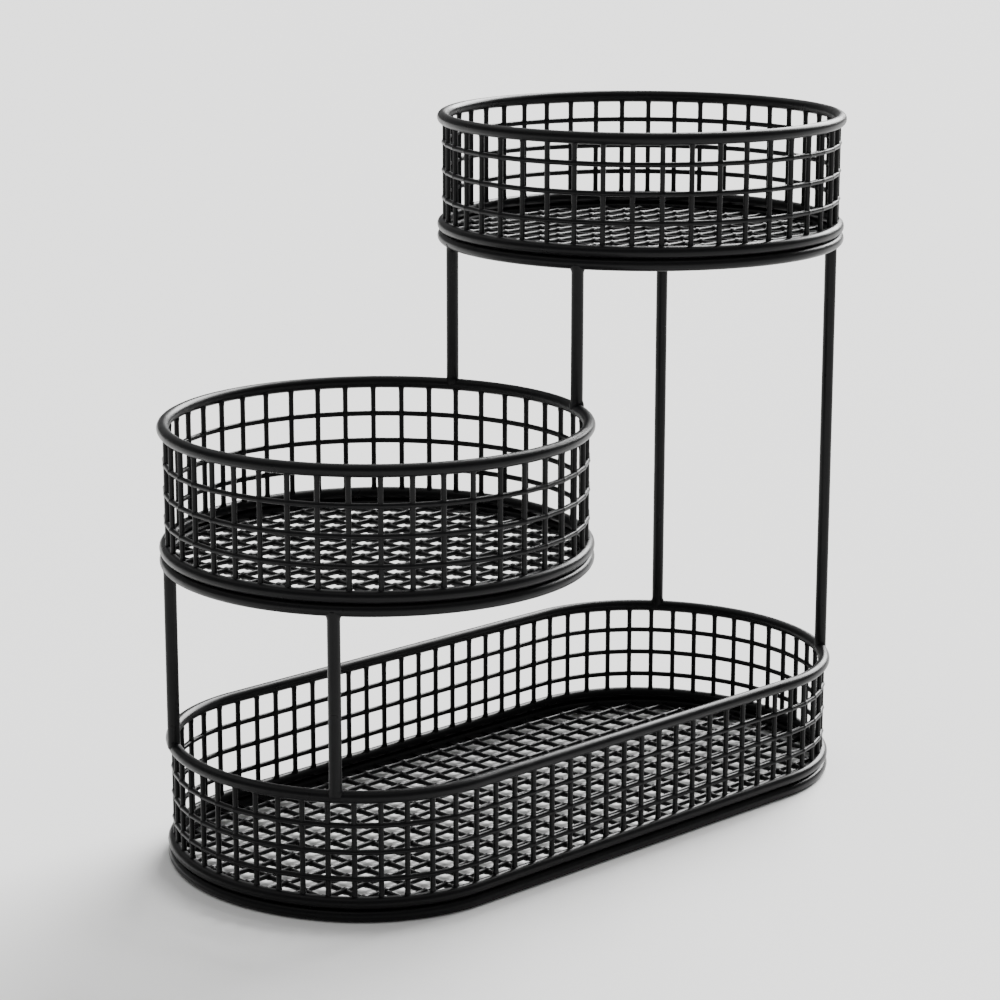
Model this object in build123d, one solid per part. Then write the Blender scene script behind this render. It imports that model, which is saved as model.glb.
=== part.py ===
from build123d import *
import os
from math import acos, cos, degrees, pi, radians, sin, sqrt

os.makedirs("parts", exist_ok=True)

# All lengths are in millimetres. X runs along the long tray, Y to the back, Z up.
# The origin is on the table under the middle of the tray.

# wire stock
rod_diameter = 5.8           # rims, base rings and posts
wire_diameter = 2.2          # mesh of the walls and floors
weld_press = 1.5             # how far two mesh wires are pressed together where they cross
wall_inset = 0.4             # mesh crossing plane, inwards from the centreline of the rods
rod_sides = 8

# mesh wire outlines, as shares of the wire radius: how far back, and the half width there
pressed_flat_share = 0.95
upright_back_shares = ((-0.25, 1.0), (-1.0, 0.42))
hoop_back_shares = ((-1.0, 0.55),)
floor_back_shares = ((-1.0, 0.55),)
cope_share = 0.45            # how far a post reaches round the rod that it ends on

# plan of the tiers
basket_radius = 96.0         # centreline of the top basket's rings and of the tray's ends
middle_spread = 0.6          # how much wider the middle basket was bent
basket_overlap = 9.3         # how far each round basket reaches past the middle of the tray
tray_side_inset = 10.0       # long straight sides, inwards from the width of the baskets
tray_shoulder_ease = 22.0    # how much tighter than a basket the tray bends at its shoulders

# heights of the walls, from the base rings to the rim
tray_wall_height = 43.1
middle_wall_height = 49.6
top_wall_height = 45.9

# free length of the posts between two tiers
lower_post_length = 78.7     # tray rim to middle basket
upper_post_length = 62.8     # middle basket rim to top basket

# wall mesh
tray_upright_pitch = 11.87
basket_upright_pitch = 13.7
tray_first_hoop = 8.0        # lowest hoop above the base rings
basket_first_hoop = 10.2
tray_hoop_pitch = 12.3
basket_hoop_pitch = 13.4
tray_upright_start = 4.2     # first upright from the end of the tray, along the wall
basket_upright_start = 0

# floor mesh
tray_floor_pitch = 12.7
basket_floor_pitch = 12.1
tray_floor_shift = -2.2      # nearest cross wire, from the middle of the tier
middle_floor_shift = 3.2
top_floor_shift = 3.7

# places of the posts round the rings, in degrees from the long axis
right_post_angle = 36.0
left_front_post_angle = 36.8
left_back_post_angle = 27.2

rod_radius = rod_diameter / 2
wire_radius = wire_diameter / 2
pressed_side = (wire_diameter - weld_press) / 2
basket_offset = basket_radius - basket_overlap
middle_radius = basket_radius + middle_spread
tray_half_width = basket_radius - tray_side_inset
tray_shoulder_radius = basket_radius - tray_shoulder_ease

# levels
tray_base = 0
tray_rim = tray_base + 2 * rod_diameter + tray_wall_height + rod_radius
middle_base = tray_rim + rod_radius + lower_post_length
middle_rim = middle_base + 2 * rod_diameter + middle_wall_height + rod_radius
top_base = middle_rim + rod_radius + upper_post_length
top_rim = top_base + 2 * rod_diameter + top_wall_height + rod_radius


def round_outline(centre_x, radius):
    """Centreline of a round ring, seen from above."""
    return Wire(Edge.make_circle(radius, Plane((centre_x, 0, 0))))


def tray_outline():
    """Centreline of a tray ring: straight sides, shoulders and ends that follow the baskets."""
    bend = tray_shoulder_radius
    rise = tray_half_width - bend
    run = sqrt(tray_shoulder_ease**2 - rise**2)
    shoulder_x = basket_offset + run
    reach = basket_radius / tray_shoulder_ease
    end_x = basket_offset + run * reach
    end_y = rise * reach
    turn = radians((90 + degrees(acos(run / tray_shoulder_ease))) / 2)
    mid_x = shoulder_x + bend * cos(turn)
    mid_y = rise + bend * sin(turn)
    tip_x = basket_offset + basket_radius
    edges = [
        ThreePointArc((end_x, -end_y), (tip_x, 0), (end_x, end_y)),
        ThreePointArc((end_x, end_y), (mid_x, mid_y), (shoulder_x, tray_half_width)),
        Line((shoulder_x, tray_half_width), (-shoulder_x, tray_half_width)),
        ThreePointArc((-shoulder_x, tray_half_width), (-mid_x, mid_y), (-end_x, end_y)),
        ThreePointArc((-end_x, end_y), (-tip_x, 0), (-end_x, -end_y)),
        ThreePointArc((-end_x, -end_y), (-mid_x, -mid_y), (-shoulder_x, -tray_half_width)),
        Line((-shoulder_x, -tray_half_width), (shoulder_x, -tray_half_width)),
        ThreePointArc((shoulder_x, -tray_half_width), (mid_x, -mid_y), (end_x, -end_y)),
    ]
    return Wire(edges), edges[0].length / 2


def stations(outline, pitch, start):
    """Places of the uprights along an outline, each with the outward direction there."""
    count = round(outline.length / pitch)
    step = outline.length / count
    places = []
    for number in range(count):
        along = (start + number * step) % outline.length
        point = outline.position_at(along, PositionMode.LENGTH)
        tangent = outline.tangent_at(along, PositionMode.LENGTH)
        places.append((point, Vector(tangent.Y, -tangent.X, 0)))
    return places


def corners(places, offset):
    """Corners of the straight runs that touch the wall at every upright."""
    points = []
    for index, (point, normal) in enumerate(places):
        next_point, next_normal = places[(index + 1) % len(places)]
        turn = normal.X * next_normal.Y - normal.Y * next_normal.X
        if abs(turn) > 1e-4:
            here = point.dot(normal) + offset
            there = next_point.dot(next_normal) + offset
            x = (here * next_normal.Y - there * normal.Y) / turn
            y = (there * normal.X - here * next_normal.X) / turn
            points.append((x, y))
    return points


def run_round(places, offset, level, section):
    """Carry a section along the straight runs, with a mitre at every corner."""
    points = [(x, y, level) for x, y in corners(places, offset)]
    first = Vector(*points[0])
    along = (Vector(*points[1]) - first).normalized()
    outward = Vector(along.Y, -along.X, 0)
    start = Plane(origin=first, x_dir=outward, z_dir=along)
    path = Polyline(*points, close=True)
    return sweep(start * section, path=path, transition=Transition.RIGHT)


def rod_section():
    """Rod with flats up, down, inside and outside."""
    return RegularPolygon(rod_radius, rod_sides, major_radius=False, rotation=180 / rod_sides)


def wire_section(back_shares, facing):
    """Mesh wire with the flat that the weld presses on it, facing +X (1) or -X (-1)."""
    half = [(pressed_side, wire_radius * pressed_flat_share)]
    half += [(wire_radius * back, wire_radius * width) for back, width in back_shares]
    points = half + [(x, -y) for x, y in reversed(half)]
    return make_face(Polyline(*[(facing * x, y) for x, y in points], close=True))


def ring(places, level):
    return run_round(places, 0, level, rod_section())


def hoop(places, level):
    offset = pressed_side - wall_inset
    return run_round(places, offset, level, wire_section(hoop_back_shares, -1))


def uprights(places, bottom, height):
    """One wire at every station, from the base rings to the rim."""
    wires = []
    for point, normal in places:
        foot = point - normal * (wall_inset + pressed_side) + Vector(0, 0, bottom)
        plane = Plane(origin=foot, x_dir=normal, z_dir=(0, 0, 1))
        wires.append(extrude(plane * wire_section(upright_back_shares, 1), height))
    return wires


def floor_wires(places, level, pitch, centre, shift, lengthwise):
    """Parallel wires cut to the inside of the lower base ring."""
    inside = Polyline(*corners(places, -rod_radius), close=True)
    hole = extrude(Plane((0, 0, level - wire_diameter)) * make_face(inside), 2 * wire_diameter)
    box = hole.bounding_box()
    low, high = (box.min.Y, box.max.Y) if lengthwise else (box.min.X, box.max.X)
    reach = box.size.X if lengthwise else box.size.Y
    first = centre + shift
    first -= pitch * int((first - low) / pitch)
    wires = []
    place = first
    while place < high:
        if min(place - low, high - place) > wire_diameter:
            if lengthwise:
                start = Plane((box.min.X, place, level + pressed_side), x_dir=(0, 0, 1), z_dir=(1, 0, 0))
                section = wire_section(floor_back_shares, -1)
            else:
                start = Plane((place, box.min.Y, level - pressed_side), x_dir=(0, 0, 1), z_dir=(0, 1, 0))
                section = wire_section(floor_back_shares, 1)
            wires.append(extrude(start * section, reach) & hole)
        place += pitch
    return wires


def post(x, y, bottom_ring, top_ring, bottom, top):
    """Post between two rings, coped over the lower one and under the upper one."""
    cope = rod_radius * (1 - cope_share)
    foot = Plane((x, y, bottom + cope))
    blank = extrude(foot * rod_section(), top - bottom - 2 * cope)
    return blank - bottom_ring - top_ring


def save(name, shape):
    if isinstance(shape, list):
        shape = Compound(label=name, children=[piece.solid() for piece in shape])
    export_step(shape, f"parts/{name}.step")


def build_tier(name, places, base, wall_height, first_hoop, hoop_pitch, floor):
    """Rim, base rings, hoops, uprights and floor of one tier."""
    lower_level = base + rod_radius
    upper_level = lower_level + rod_diameter
    wall_bottom = base + 2 * rod_diameter
    rim_level = wall_bottom + wall_height + rod_radius
    lower = ring(places, lower_level)
    rim = ring(places, rim_level)
    save(f"{name}_lower_base_ring", lower)
    save(f"{name}_upper_base_ring", ring(places, upper_level))
    save(f"{name}_rim", rim)
    for number, part_name in enumerate(("lower_hoop", "middle_hoop", "upper_hoop")):
        level = wall_bottom + first_hoop + number * hoop_pitch
        save(f"{name}_{part_name}", hoop(places, level))
    save(f"{name}_uprights", uprights(places, wall_bottom, wall_height))
    pitch, centre, shift = floor
    long_wires = floor_wires(places, lower_level, pitch, 0, 0, True)
    cross_wires = floor_wires(places, lower_level, pitch, centre, shift, False)
    save(f"{name}_floor_long_wires", long_wires)
    save(f"{name}_floor_cross_wires", cross_wires)
    return lower, rim


tray_line, tray_zero = tray_outline()
middle_line = round_outline(-basket_offset, middle_radius)
top_line = round_outline(basket_offset, basket_radius)

tray_places = stations(tray_line, tray_upright_pitch, tray_zero + tray_upright_start)
middle_places = stations(middle_line, basket_upright_pitch, basket_upright_start)
top_places = stations(top_line, basket_upright_pitch, basket_upright_start)

tray_lower, tray_rim_ring = build_tier(
    "tray", tray_places, tray_base, tray_wall_height, tray_first_hoop, tray_hoop_pitch,
    (tray_floor_pitch, 0, tray_floor_shift))
middle_lower, middle_rim_ring = build_tier(
    "middle", middle_places, middle_base, middle_wall_height, basket_first_hoop, basket_hoop_pitch,
    (basket_floor_pitch, -basket_offset, middle_floor_shift))
top_lower, top_rim_ring = build_tier(
    "top", top_places, top_base, top_wall_height, basket_first_hoop, basket_hoop_pitch,
    (basket_floor_pitch, basket_offset, top_floor_shift))

# posts: two where the round baskets cross in plan, two at each end of the tray
crossing_x = (middle_radius**2 - basket_radius**2) / (4 * basket_offset)
crossing_y = sqrt(basket_radius**2 - (basket_offset - crossing_x) ** 2)
middle_foot = middle_base + rod_radius
top_foot = top_base + rod_radius

for name, angle, side, places in (
        ("post_right_back", right_post_angle, 1, "top"),
        ("post_right_front", right_post_angle, -1, "top"),
        ("post_left_back", left_back_post_angle, 1, "middle"),
        ("post_left_front", left_front_post_angle, -1, "middle")):
    end, radius = (1, basket_radius) if places == "top" else (-1, middle_radius)
    above, above_level = (top_lower, top_foot) if places == "top" else (middle_lower, middle_foot)
    x = end * (basket_offset + radius * cos(radians(angle)))
    y = side * radius * sin(radians(angle))
    save(name, post(x, y, tray_rim_ring, above, tray_rim, above_level))

for name, side in (("post_centre_back", 1), ("post_centre_front", -1)):
    y = side * crossing_y
    save(name, post(crossing_x, y, middle_rim_ring, top_lower, middle_rim, top_foot))
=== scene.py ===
"""Looks of a tiered wire basket: round rod, welded mesh and black powder coat."""
from functools import partial
from math import asin, cos, pi, radians, sin, sqrt

import bpy
from bpy.props import FloatProperty, FloatVectorProperty, IntProperty, PointerProperty
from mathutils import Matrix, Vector


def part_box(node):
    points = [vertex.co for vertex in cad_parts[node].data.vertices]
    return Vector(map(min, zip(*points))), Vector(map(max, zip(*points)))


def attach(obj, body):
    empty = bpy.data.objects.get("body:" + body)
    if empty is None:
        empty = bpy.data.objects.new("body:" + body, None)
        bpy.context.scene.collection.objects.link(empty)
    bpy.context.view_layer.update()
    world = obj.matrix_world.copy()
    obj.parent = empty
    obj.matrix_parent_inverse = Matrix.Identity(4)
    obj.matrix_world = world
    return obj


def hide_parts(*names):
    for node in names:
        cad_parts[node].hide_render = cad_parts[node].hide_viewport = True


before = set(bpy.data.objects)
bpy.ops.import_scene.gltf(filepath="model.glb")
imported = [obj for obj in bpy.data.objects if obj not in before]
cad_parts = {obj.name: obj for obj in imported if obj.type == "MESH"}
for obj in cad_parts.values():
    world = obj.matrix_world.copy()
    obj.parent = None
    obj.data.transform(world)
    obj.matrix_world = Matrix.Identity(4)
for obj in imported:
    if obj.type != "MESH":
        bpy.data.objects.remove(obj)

bl_info = {
    "name": "Tiered wire basket",
    "version": (1, 0, 0),
    "blender": (4, 5, 0),
    "location": "3D View > Sidebar > Basket",
    "description": "Dresses the tiered wire basket with round wire, weld fillets and powder coat",
    "category": "Object",
}

MM = 0.001
BODY = "root"
TIERS = ("tray", "middle", "top")
RODS = ("rim", "upper_base_ring", "lower_base_ring")
HOOPS = ("lower_hoop", "middle_hoop", "upper_hoop")
POSTS = ("post_right_back", "post_right_front", "post_left_back", "post_left_front",
         "post_centre_back", "post_centre_front")
CARRIES = {"right": ("tray", "top"), "left": ("tray", "middle"), "centre": ("middle", "top")}
UP = Vector((0, 0, 1))

# How finely the round bars are drawn
ROD_SIDES, POST_SIDES, WIRE_SIDES, FLOOR_WIRE_SIDES = 20, 24, 10, 8
ROD_STEPS = 4                                                   # from one upright to the next
WELD_SHARES = (-1.0, -0.6, -0.3, 0.0, 0.3, 0.6, 1.0)            # of a fillet's reach, at a weld
POST_SHARES = (0.05, 0.2, 0.35, 0.5, 0.6, 0.7, 0.8, 0.9, 1.0)   # of the shaped end of a post

# The stage and the camera
FLOOR_HALF = 15.0      # metres, so that a low view still shows floor behind the basket
SENSOR_WIDTH = 36.0    # millimetres
FARTHEST_SEEN = 100.0  # metres


def linear(hex_colour):
    """Linear red, green and blue of an sRGB hex colour."""
    shades = [int(hex_colour[first:first + 2], 16) / 255 for first in (1, 3, 5)]
    return tuple(shade / 12.92 if shade <= 0.04045 else ((shade + 0.055) / 1.055) ** 2.4
                 for shade in shades)


def level(node):
    """Height of the middle of a node."""
    low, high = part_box(node)
    return (low.z + high.z) / 2


def middle_x(node):
    """Middle of a node along the tray."""
    low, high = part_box(node)
    return (low.x + high.x) / 2


def length(name, text, default):
    """Property that holds a length."""
    return FloatProperty(name=name, description=text, default=default, min=0, unit="LENGTH", precision=5)


def strength(name, text, default):
    """Property that holds how strong a light is."""
    return FloatProperty(name=name, description=text, default=default, min=0)


def spread(name, text, default):
    """Property that holds how wide a distant light looks from the basket."""
    return FloatProperty(name=name, description=text, default=default, min=0, unit="ROTATION")


def direction(name, text, default):
    """Property that holds a direction from the basket."""
    return FloatVectorProperty(name=name, description=text, subtype="DIRECTION", size=3, default=default)


# Sizes and colours

class BasketWire(bpy.types.PropertyGroup):
    """Round rod and wire stock, and what the welds and the coat do to it."""

    rod: length("Rod", "Diameter of the rims, base rings and posts", 5.8 * MM)
    wire: length("Mesh wire", "Wall and floor wires, drawn 0.3 mm fuller than the CAD has them", 2.5 * MM)
    wall_inset: length("Wall inset", "How far the uprights lie inside the rod centreline", 0.92 * MM)
    press: length("Press", "Distance between the middles of two mesh wires where they cross", 0.3 * MM)
    fillet: length("Mesh fillet", "How far coat and weld swell a mesh wire at a crossing", 0.24 * MM)
    fillet_reach: length("Mesh fillet reach", "How far the swelling runs along the wire", 2.0 * MM)
    floor_press: length("Floor press", "Distance between the middles of a floor's two layers", 0.5 * MM)
    pool: length("Floor fillet", "How far pooled coat swells a floor wire at a crossing", 0.5 * MM)
    pool_reach: length("Floor fillet reach", "How far that swelling runs along the wire", 3.2 * MM)
    post_fillet: length("Post fillet", "How far the weld swells a post at its ends", 0.6 * MM)
    post_fillet_reach: length("Post fillet reach", "How far it runs along the post", 2.0 * MM)


class BasketPlan(bpy.types.PropertyGroup):
    """Plan of the tiers, seen from above."""

    basket_radius: length("Basket radius", "Centreline radius of top basket and tray ends", 96.0 * MM)
    middle_spread: length("Middle spread", "How much wider the middle basket's radius is", 0.6 * MM)
    basket_offset: length("Basket offset", "Each round basket from the middle of the tray", 86.7 * MM)
    tray_half_width: length("Tray half width", "Centreline of the tray's long sides", 86.0 * MM)
    tray_shoulder: length("Tray shoulder", "Radius of the bend from a long side to an end", 74.0 * MM)
    tray_uprights: IntProperty(name="Tray uprights", description="Uprights round the tray",
                               default=79, min=8)
    basket_uprights: IntProperty(name="Basket uprights", description="Uprights round a round basket",
                                 default=44, min=8)
    tray_first: length("First tray upright", "From the end of the tray, along its wall", 4.2 * MM)
    tray_floor_pitch: length("Tray floor pitch", "Spacing of the tray's floor wires", 12.7 * MM)
    basket_floor_pitch: length("Basket floor pitch", "Spacing of the baskets' floor wires", 12.1 * MM)


class BasketCoat(bpy.types.PropertyGroup):
    """Black satin powder coat."""

    colour: FloatVectorProperty(name="Colour", description="Colour of the coat", subtype="COLOR", size=3,
                                min=0, max=1, default=linear("#0d0d0e"))
    ior: FloatProperty(name="IOR", description="Refractive index of the coat", default=1.22, min=1)
    gloss_low: FloatProperty(name="Smoothest", description="Roughness where the coat flowed out best",
                             default=0.26, min=0, max=1, subtype="FACTOR")
    gloss_high: FloatProperty(name="Roughest", description="Roughness where the coat is most peeled",
                              default=0.38, min=0, max=1, subtype="FACTOR")
    peel: length("Orange peel", "Spacing of the ripples left by the cured powder", 1.1 * MM)
    peel_height: length("Orange peel height", "Height of those ripples", 0.02 * MM)
    cloud: length("Cloud", "Size of the patches where the coat lies thicker or thinner", 14.0 * MM)


class BasketStudio(bpy.types.PropertyGroup):
    """Plain pale floor, soft lights and the camera."""

    floor_colour: FloatVectorProperty(name="Floor", description="Colour of the floor", subtype="COLOR",
                                      size=3, min=0, max=1, default=linear("#f4f4f3"))
    sky: strength("Surround", "Strength of the even light all round", 0.28)
    wall: strength("Wall", "Brightness of the surround where it is looked at", 2.2)
    key: strength("Key", "Strength of the soft light from the right", 10.0)
    key_from: direction("Key from", "Direction from the basket to that light", (0.78, 0.23, 0.51))
    key_spread: spread("Key spread", "How wide that light looks from the basket", radians(40))
    top: strength("Top", "Strength of the wide light from above", 1.3)
    top_from: direction("Top from", "Direction from the basket to that light", (0.1, 0.2, 1.0))
    top_spread: spread("Top spread", "How wide that light looks from the basket", radians(90))
    camera_place: FloatVectorProperty(name="Camera place", description="Where the camera stands",
                                      subtype="TRANSLATION", unit="LENGTH", size=3,
                                      default=(-0.9645, -0.9825, 0.4840))
    camera_turn: FloatVectorProperty(name="Camera turn", description="How the camera is turned",
                                     subtype="EULER", unit="ROTATION", size=3,
                                     default=(radians(76.479), radians(-0.065), radians(-44.204)))
    camera_lens: FloatProperty(name="Lens", description="Focal length on a 36 mm sensor, in millimetres",
                               default=106.69, min=1)


# Plan outlines

class Outline:
    """Closed plan line of arcs and straights, anticlockwise from its +X end."""

    def __init__(self, pieces):
        self.pieces = pieces
        self.total = sum(self.piece_length(piece) for piece in pieces)

    @staticmethod
    def piece_length(piece):
        """Length of one arc or straight."""
        if piece[0] == "arc":
            _, _, radius, start, end = piece
            return radius * (end - start)
        _, start, end = piece
        return (end - start).length

    def at(self, along):
        """Point at a distance along the line, and the outward direction there."""
        along %= self.total
        for piece in self.pieces:
            size = self.piece_length(piece)
            if along <= size:
                break
            along -= size
        if piece[0] == "arc":
            _, centre, radius, start, _ = piece
            angle = start + along / radius
            out = Vector((cos(angle), sin(angle), 0))
            return centre + radius * out, out
        _, start, end = piece
        way = (end - start).normalized()
        return start + along * way, Vector((way.y, -way.x, 0))


def round_radius(plan, tier):
    """Centreline radius of a round basket."""
    return plan.basket_radius + (plan.middle_spread if tier == "middle" else 0)


def round_outline(plan, tier):
    """Circle of a round basket."""
    centre = Vector((middle_x(f"{tier}_rim"), 0, 0))
    return Outline([("arc", centre, round_radius(plan, tier), 0, 2 * pi)])


def tray_outline(plan):
    """Long sides, shoulders and ends that follow the baskets above."""
    bend, offset, half = plan.tray_shoulder, plan.basket_offset, plan.tray_half_width
    ease = plan.basket_radius - bend
    rise = half - bend
    lean = asin(rise / ease)
    shoulder = offset + ease * cos(lean)
    right, left = Vector((offset, 0, 0)), Vector((-offset, 0, 0))

    def corner(x, y):
        """Centre of the bend in a quarter of the tray."""
        return Vector((x * shoulder, y * rise, 0))

    def side(x, y):
        """End of a long side in a quarter of the tray."""
        return Vector((x * shoulder, y * half, 0))

    big = plan.basket_radius
    return Outline([
        ("arc", right, big, 0, lean),
        ("arc", corner(1, 1), bend, lean, pi / 2),
        ("line", side(1, 1), side(-1, 1)),
        ("arc", corner(-1, 1), bend, pi / 2, pi - lean),
        ("arc", left, big, pi - lean, pi + lean),
        ("arc", corner(-1, -1), bend, pi + lean, 3 * pi / 2),
        ("line", side(-1, -1), side(1, -1)),
        ("arc", corner(1, -1), bend, 3 * pi / 2, 2 * pi - lean),
        ("arc", right, big, 2 * pi - lean, 2 * pi),
    ])


def tier_plan(plan, tier):
    """Outline, upright count and first upright of a tier."""
    if tier == "tray":
        return tray_outline(plan), plan.tray_uprights, plan.tray_first
    return round_outline(plan, tier), plan.basket_uprights, 0.0


def upright_stations(plan, tier):
    """Outline of a tier, the places of its uprights along it, and their spacing."""
    line, count, first = tier_plan(plan, tier)
    step = line.total / count
    return line, [first + number * step for number in range(count)], step


# Round bars

def round_bar(verts, faces, spine, sides, closed):
    """Add a round bar along a spine of (middle, way along, way out, radius).

    A radius may also be a function of the turn round the bar, from the way out.
    """
    start = len(verts)
    turns = [2 * pi * side / sides for side in range(sides)]
    for middle, along, out, radius in spine:
        across = along.cross(out)
        for turn in turns:
            reach = radius(turn) if callable(radius) else radius
            verts.append(middle + reach * (cos(turn) * out + sin(turn) * across))
    rings = len(spine)
    for ring in range(rings if closed else rings - 1):
        here, there = start + ring * sides, start + (ring + 1) % rings * sides
        for side in range(sides):
            beside = (side + 1) % sides
            faces.append((here + side, here + beside, there + beside, there + side))
    if not closed:
        last = start + (rings - 1) * sides
        faces.append(tuple(start + side for side in reversed(range(sides))))
        faces.append(tuple(last + side for side in range(sides)))


def swell(distance, reach):
    """Share of a fillet that is left at a distance from the weld, from 1 to 0."""
    if abs(distance) >= reach:
        return 0.0
    return (1 - abs(distance) / reach) ** 2


def weld_stops(places, reach, low=None, high=None):
    """Places along a wire where its outline changes: close together at welds, none between."""
    stops = set()
    for place in places:
        for share in WELD_SHARES:
            stops.add(place + share * reach)
    if low is not None:
        stops = {stop for stop in stops if low < stop < high} | {low, high}
    return sorted(stops)


def make_piece(name, verts, faces, node):
    """Make one coated object that stands for a CAD node."""
    mesh = bpy.data.meshes.new(name)
    mesh.from_pydata([tuple(vert) for vert in verts], [], faces)
    mesh.shade_smooth()
    mesh.materials.append(powder_coat())
    piece = bpy.data.objects.new(name, mesh)
    bpy.context.scene.collection.objects.link(piece)
    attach(piece, BODY)
    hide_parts(node)


# Materials

def add_node(tree, kind, inputs=(), **settings):
    """Add a node, give it its settings, and set or link each named input."""
    node = tree.nodes.new(kind)
    for name, value in settings.items():
        setattr(node, name, value)
    for name, value in dict(inputs).items():
        if isinstance(value, bpy.types.NodeSocket):
            tree.links.new(value, node.inputs[name])
        else:
            node.inputs[name].default_value = value
    return node


def powder_coat():
    """Polyester powder coat, satin black, sprayed on steel wire and cured in an oven.

    It flows out smooth but for a fine orange peel, so highlights are soft and slightly
    broken, and it lies a little thicker in some patches than in others. Its refractive
    index is about 1.5. Here it is lower, matched to how dark the faces stay that are turned
    away from the light.
    """
    name = "satin_powder_coat_black"
    if name in bpy.data.materials:
        return bpy.data.materials[name]
    look = bpy.context.scene.basket_coat
    coat = bpy.data.materials.new(name)
    coat.use_nodes = True
    tree = coat.node_tree
    shader = tree.nodes["Principled BSDF"]
    shader.inputs["Base Color"].default_value = (*look.colour, 1)
    shader.inputs["IOR"].default_value = look.ior
    shader.inputs["Metallic"].default_value = 0.0
    place = add_node(tree, "ShaderNodeTexCoord").outputs["Object"]
    cloud = add_node(tree, "ShaderNodeTexNoise",
                     {"Vector": place, "Scale": 1 / look.cloud, "Detail": 3.0, "Roughness": 0.55})
    gloss = add_node(tree, "ShaderNodeMapRange",
                     {"Value": cloud.outputs["Fac"], "From Min": 0.3, "From Max": 0.7,
                      "To Min": look.gloss_low, "To Max": look.gloss_high})
    peel = add_node(tree, "ShaderNodeTexNoise",
                    {"Vector": place, "Scale": 1 / look.peel, "Detail": 2.0, "Roughness": 0.5})
    bump = add_node(tree, "ShaderNodeBump",
                    {"Height": peel.outputs["Fac"], "Distance": look.peel_height, "Strength": 1.0})
    tree.links.new(gloss.outputs["Result"], shader.inputs["Roughness"])
    tree.links.new(bump.outputs["Normal"], shader.inputs["Normal"])
    return coat


def white_paper():
    """Seamless background paper, matt white, laid flat.

    Its fibres scatter light evenly, so it shows soft shadows and no gloss.
    """
    paper = bpy.data.materials.new("matt_white_paper")
    paper.use_nodes = True
    shader = paper.node_tree.nodes["Principled BSDF"]
    shader.inputs["Base Color"].default_value = (*bpy.context.scene.basket_studio.floor_colour, 1)
    shader.inputs["Roughness"].default_value = 0.9
    return paper


# Operators

class BASKET_OT_rods(bpy.types.Operator):
    """Bend the rims and base rings of all tiers from round rod"""

    bl_idname = "basket.rods"
    bl_label = "Rims and base rings"

    def execute(self, context):
        plan, stock = context.scene.basket_plan, context.scene.basket_wire
        for tier in TIERS:
            line, stations, step = upright_stations(plan, tier)
            for rod in RODS:
                node = f"{tier}_{rod}"
                height = UP * level(node)
                spine = []
                for number in range(len(stations) * ROD_STEPS):
                    point, out = line.at(stations[0] + number * step / ROD_STEPS)
                    spine.append((point + height, UP.cross(out), out, stock.rod / 2))
                verts, faces = [], []
                round_bar(verts, faces, spine, ROD_SIDES, True)
                make_piece(f"{node}_rod", verts, faces, node)
        return {"FINISHED"}


class BASKET_OT_hoops(bpy.types.Operator):
    """Lay the three hoops round each wall, swollen at every weld"""

    bl_idname = "basket.hoops"
    bl_label = "Wall hoops"

    def execute(self, context):
        plan, stock = context.scene.basket_plan, context.scene.basket_wire
        inset = stock.wall_inset - stock.press
        reach = stock.fillet_reach
        for tier in TIERS:
            line, stations, step = upright_stations(plan, tier)
            stops = weld_stops(stations, reach)
            for hoop in HOOPS:
                node = f"{tier}_{hoop}"
                height = UP * level(node)
                spine = []
                for stop in stops:
                    point, out = line.at(stop)
                    near = abs((stop - stations[0] + step / 2) % step - step / 2)
                    radius = stock.wire / 2 + stock.fillet * swell(near, reach)
                    spine.append((point - inset * out + height, UP.cross(out), out, radius))
                verts, faces = [], []
                round_bar(verts, faces, spine, WIRE_SIDES, True)
                make_piece(f"{node}_wire", verts, faces, node)
        return {"FINISHED"}


class BASKET_OT_uprights(bpy.types.Operator):
    """Stand the uprights of each wall between its base rings and its rim"""

    bl_idname = "basket.uprights"
    bl_label = "Wall uprights"

    def execute(self, context):
        plan, stock = context.scene.basket_plan, context.scene.basket_wire
        reach = stock.fillet_reach
        for tier in TIERS:
            line, stations, _ = upright_stations(plan, tier)
            node = f"{tier}_uprights"
            drop = sqrt((stock.rod / 2) ** 2 - stock.wall_inset**2)
            foot = level(f"{tier}_upper_base_ring") + drop
            head = level(f"{tier}_rim") - drop
            sunk = stock.wire / 2
            welds = [foot] + [level(f"{tier}_{hoop}") for hoop in HOOPS] + [head]
            stops = weld_stops(welds, reach, foot - sunk, head + sunk)
            verts, faces = [], []
            for station in stations:
                point, out = line.at(station)
                middle = point - stock.wall_inset * out
                spine = []
                for stop in stops:
                    size = stock.fillet * max(swell(stop - weld, reach) for weld in welds)
                    spine.append((middle + stop * UP, UP, out, stock.wire / 2 + size))
                round_bar(verts, faces, spine, WIRE_SIDES, False)
            make_piece(f"{node}_wires", verts, faces, node)
        return {"FINISHED"}


def chord(plan, tier, place, lengthwise):
    """Ends of a straight floor wire, on the centreline of the ring round it.

    In the tray it ends on a round end, on a shoulder or on a long side.
    """
    if tier != "tray":
        centre = middle_x(f"{tier}_rim")
        away = place if lengthwise else place - centre
        half = sqrt(round_radius(plan, tier) ** 2 - away**2)
        return (centre - half, centre + half) if lengthwise else (-half, half)
    big, offset = plan.basket_radius, plan.basket_offset
    bend, side = plan.tray_shoulder, plan.tray_half_width
    ease, rise = big - bend, side - bend
    run = sqrt(ease**2 - rise**2)
    shoulder = offset + run
    away = abs(place)
    if lengthwise:
        if away <= rise * big / ease:
            half = offset + sqrt(big**2 - away**2)
        else:
            half = shoulder + sqrt(bend**2 - (away - rise) ** 2)
    elif away <= shoulder:
        half = side
    elif away <= offset + run * big / ease:
        half = rise + sqrt(bend**2 - (away - shoulder) ** 2)
    else:
        half = sqrt(big**2 - (away - offset) ** 2)
    return -half, half


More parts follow.
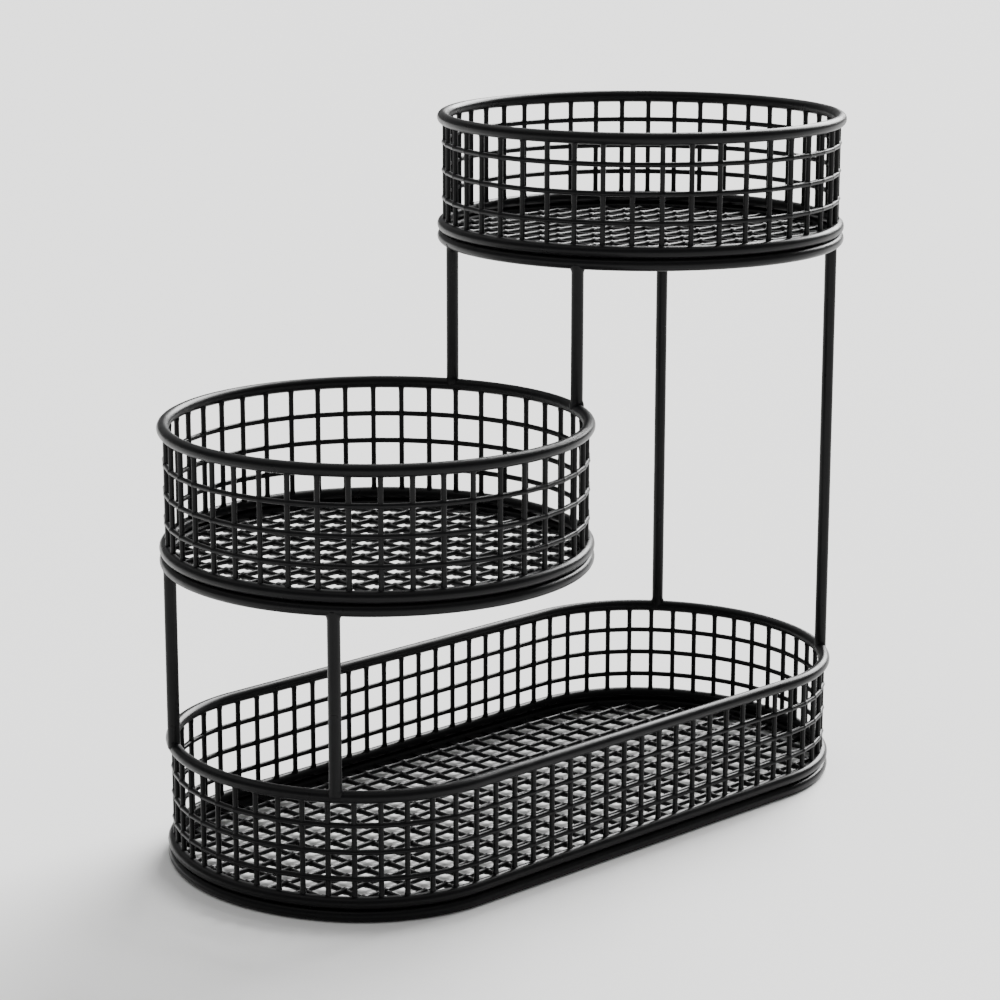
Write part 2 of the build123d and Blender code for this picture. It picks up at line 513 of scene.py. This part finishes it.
def floor_places(node, pitch, axis, width):
    """Middles of the parallel wires of a floor, from the box of its node."""
    low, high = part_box(node)
    first, last = low[axis] + width / 2, high[axis] - width / 2
    count = round((last - first) / pitch) + 1
    start = (first + last) / 2 - (count - 1) * pitch / 2
    return [start + number * pitch for number in range(count)]


def floor_wire(plan, stock, tier, place, height, lengthwise, crossings):
    """Spine of a straight floor wire, swollen where other wires cross it."""
    reach = stock.pool_reach
    low, high = chord(plan, tier, place, lengthwise)
    welds = [spot for spot in crossings if low < spot < high]
    along = Vector((1, 0, 0)) if lengthwise else Vector((0, 1, 0))
    spine = []
    for stop in weld_stops(welds, reach, low, high):
        spot = (stop, place, height) if lengthwise else (place, stop, height)
        size = stock.pool * max(swell(stop - weld, reach) for weld in welds)
        spine.append((Vector(spot), along, UP, stock.wire / 2 + size))
    return spine


class BASKET_OT_floors(bpy.types.Operator):
    """Weld the two layers of each floor inside the lower base ring"""

    bl_idname = "basket.floors"
    bl_label = "Floor mesh"

    def execute(self, context):
        plan, stock = context.scene.basket_plan, context.scene.basket_wire
        for tier in TIERS:
            pitch = plan.tray_floor_pitch if tier == "tray" else plan.basket_floor_pitch
            nodes = {True: f"{tier}_floor_long_wires", False: f"{tier}_floor_cross_wires"}
            places = {True: floor_places(nodes[True], pitch, 1, stock.wire),
                      False: floor_places(nodes[False], pitch, 0, stock.wire)}
            middle = level(f"{tier}_lower_base_ring")
            for lengthwise, node in nodes.items():
                height = middle + (stock.floor_press / 2 if lengthwise else -stock.floor_press / 2)
                crossings = places[not lengthwise]
                verts, faces = [], []
                for place in places[lengthwise]:
                    spine = floor_wire(plan, stock, tier, place, height, lengthwise, crossings)
                    round_bar(verts, faces, spine, FLOOR_WIRE_SIDES, False)
                make_piece(f"{node}_welded", verts, faces, node)
        return {"FINISHED"}


def post_girth(stock, distance, turn):
    """Radius of a post at a distance from the middle of the rod that it ends on."""
    radius = stock.rod / 2
    aside = radius * abs(cos(turn))
    saddle = sqrt(max(radius**2 - aside**2, 0))
    over = max(distance - saddle, 0)
    return radius + stock.post_fillet * sin(turn) ** 2 * swell(over, stock.post_fillet_reach)


class BASKET_OT_posts(bpy.types.Operator):
    """Stand the posts between the tiers, shaped over the rods that they end on"""

    bl_idname = "basket.posts"
    bl_label = "Posts"

    def execute(self, context):
        stock = context.scene.basket_wire
        near = [share * (stock.rod / 2 + stock.post_fillet_reach) for share in POST_SHARES]
        for node in POSTS:
            below, above = CARRIES[node.split("_")[1]]
            foot, head = level(f"{below}_rim"), level(f"{above}_lower_base_ring")
            low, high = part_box(node)
            place = Vector(((low.x + high.x) / 2, (low.y + high.y) / 2, 0))
            hub = Vector((middle_x(f"{above}_rim"), 0, 0))
            out = (place - hub).normalized()
            stops = [foot + away for away in near] + [head - away for away in reversed(near)]
            spine = []
            for stop in stops:
                distance = min(stop - foot, head - stop)
                spine.append((place + stop * UP, UP, out, partial(post_girth, stock, distance)))
            verts, faces = [], []
            round_bar(verts, faces, spine, POST_SIDES, False)
            make_piece(f"{node}_rod", verts, faces, node)
        return {"FINISHED"}


class BASKET_OT_studio(bpy.types.Operator):
    """Lay the floor, hang the soft lights and set up the camera"""

    bl_idname = "basket.studio"
    bl_label = "Studio"

    def execute(self, context):
        studio = context.scene.basket_studio
        self.lay_floor()
        context.scene.world = self.pale_surround(studio)
        self.hang_light("window_right", studio.key_from, studio.key_spread, studio.key)
        self.hang_light("sky_top", studio.top_from, studio.top_spread, studio.top)
        camera = bpy.data.objects.new("camera", bpy.data.cameras.new("camera"))
        camera.location = studio.camera_place
        camera.rotation_euler = studio.camera_turn
        camera.data.sensor_width = SENSOR_WIDTH
        camera.data.lens = studio.camera_lens
        camera.data.clip_end = FARTHEST_SEEN
        context.scene.collection.objects.link(camera)
        context.scene.camera = camera
        return {"FINISHED"}

    def pale_surround(self, studio):
        """Surround as pale as the floor where it is looked at, that lights the object only weakly."""
        world = bpy.data.worlds.new("pale_surround")
        world.use_nodes = True
        tree = world.node_tree
        seen = add_node(tree, "ShaderNodeLightPath").outputs["Is Camera Ray"]
        glow = add_node(tree, "ShaderNodeMapRange",
                        {"Value": seen, "To Min": studio.sky, "To Max": studio.wall})
        back = tree.nodes["Background"]
        back.inputs["Color"].default_value = (*linear("#ffffff"), 1)
        tree.links.new(glow.outputs["Result"], back.inputs["Strength"])
        return world

    def lay_floor(self):
        """Plain pale floor under the basket."""
        half = FLOOR_HALF
        mesh = bpy.data.meshes.new("floor")
        mesh.from_pydata([(-half, -half, 0), (half, -half, 0), (half, half, 0), (-half, half, 0)],
                         [], [(0, 1, 2, 3)])
        mesh.materials.append(white_paper())
        floor = bpy.data.objects.new("floor", mesh)
        bpy.context.scene.collection.objects.link(floor)

    def hang_light(self, name, away, width, power):
        """Distant soft light, so that the floor is as bright far off as near the basket."""
        lamp = bpy.data.lights.new(name, "SUN")
        lamp.angle = width
        lamp.energy = power
        light = bpy.data.objects.new(name, lamp)
        light.rotation_euler = (-Vector(away)).to_track_quat("-Z", "Y").to_euler()
        bpy.context.scene.collection.objects.link(light)


class BASKET_PT_panel(bpy.types.Panel):
    """Steps that dress the basket, in order."""

    bl_idname = "BASKET_PT_panel"
    bl_label = "Tiered wire basket"
    bl_space_type = "VIEW_3D"
    bl_region_type = "UI"
    bl_category = "Basket"

    def draw(self, context):
        for step in STEPS:
            self.layout.operator(step.bl_idname)
        for group in GROUPS:
            settings = getattr(context.scene, group)
            for name in settings.bl_rna.properties.keys():
                if name not in ("rna_type", "name"):
                    self.layout.prop(settings, name)


GROUPS = {"basket_wire": BasketWire, "basket_plan": BasketPlan, "basket_coat": BasketCoat,
          "basket_studio": BasketStudio}
STEPS = (BASKET_OT_rods, BASKET_OT_hoops, BASKET_OT_uprights, BASKET_OT_floors, BASKET_OT_posts,
         BASKET_OT_studio)
CLASSES = (*GROUPS.values(), *STEPS, BASKET_PT_panel)


def register():
    for kind in CLASSES:
        bpy.utils.register_class(kind)
    for name, kind in GROUPS.items():
        setattr(bpy.types.Scene, name, PointerProperty(type=kind))


def unregister():
    for name in GROUPS:
        delattr(bpy.types.Scene, name)
    for kind in reversed(CLASSES):
        bpy.utils.unregister_class(kind)


def main():
    """Dress the basket."""
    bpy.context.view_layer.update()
    register()
    for step in STEPS:
        group, name = step.bl_idname.split(".")
        getattr(getattr(bpy.ops, group), name)()


if __name__ == "__main__":
    main()
